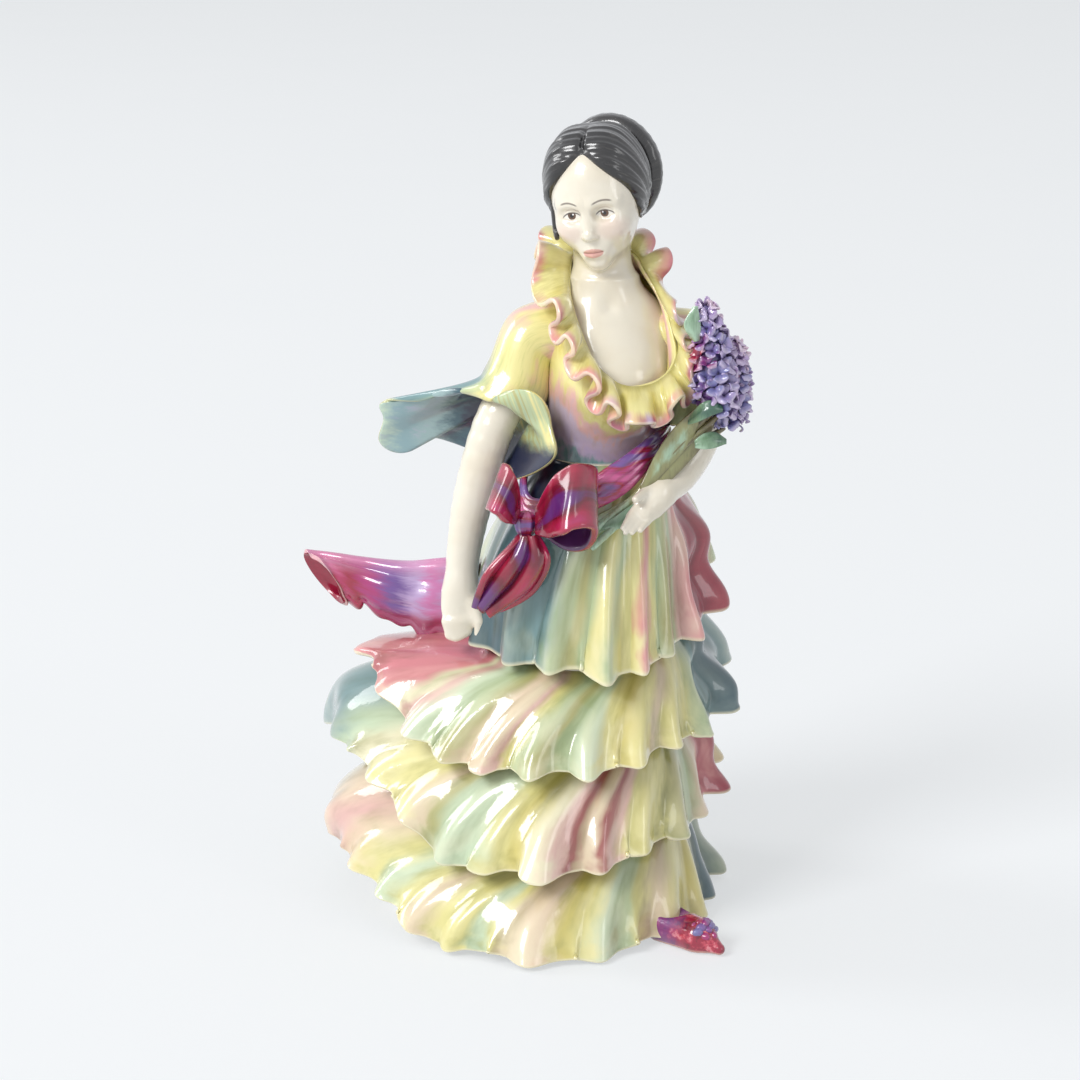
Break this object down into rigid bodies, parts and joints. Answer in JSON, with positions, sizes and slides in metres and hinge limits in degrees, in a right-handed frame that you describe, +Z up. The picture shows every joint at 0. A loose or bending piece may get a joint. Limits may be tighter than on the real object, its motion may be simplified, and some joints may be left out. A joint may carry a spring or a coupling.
{
  "type": "china figurine",
  "caption": "Glazed china figurine of a standing lady with a frilled collar, flounced skirt, bow and bouquet, on a flat closed base.",
  "frame": {"origin": "middle of the base plate's flat underside, on the table", "axes": "+Z up along the figure, -Y towards the viewer that the lady faces, +X to the viewer's right, the lady's left"},
  "size_m": [0.1056, 0.0974, 0.1905],
  "materials": {
    "ivory_china": "glossy ivory glaze with a faint blush",
    "hem_glaze": "glossy glaze over streaky lemon, mint, peach and teal paint",
    "third_glaze": "glossy glaze over streaky lemon, aqua and brick pink paint",
    "second_glaze": "glossy glaze over streaky rose, peach, green and lemon paint",
    "overskirt_glaze": "glossy glaze over streaky teal, green, lemon and pink paint",
    "drape_glaze": "glossy glaze over rose, mauve and crimson paint",
    "bodice_glaze": "glossy glaze, ivory skin above, lemon and lilac cloth below",
    "hair_glaze": "glossy near-black glaze with fine streaks",
    "collar_glaze": "glossy lemon glaze with pink and lilac edges",
    "sleeve_glaze": "glossy glaze from lemon at the shoulder to teal blue at the edge",
    "ribbon_glaze": "glossy crimson glaze with violet shading",
    "leaf_glaze": "glossy olive and teal green glaze",
    "flower_glaze": "glossy lilac, violet and crimson glaze"
  },
  "bodies": {
    "root": {"base_plate": "ivory_china", "underskirt": "ivory_china", "hem_flounce": "hem_glaze", "third_flounce": "third_glaze", "second_flounce": "second_glaze", "overskirt": "overskirt_glaze", "flying_drape": "drape_glaze", "bodice": "bodice_glaze", "head": "ivory_china", "hair": "hair_glaze", "chignon": "hair_glaze", "hair_curl": "hair_glaze", "collar_ruffle": "collar_glaze", "right_arm": "ivory_china", "left_arm": "ivory_china", "right_sleeve": "sleeve_glaze", "left_sleeve": "sleeve_glaze", "sash": "ribbon_glaze", "bow_right_loop": "ribbon_glaze", "bow_left_loop": "ribbon_glaze", "bow_knot": "ribbon_glaze", "bow_tail": "ribbon_glaze", "bouquet_stems": "leaf_glaze", "bouquet_flowers": "flower_glaze", "bouquet_leaves": "leaf_glaze", "shoe": "ribbon_glaze", "shoe_rosette": "flower_glaze"}
  },
  "joints": []
}
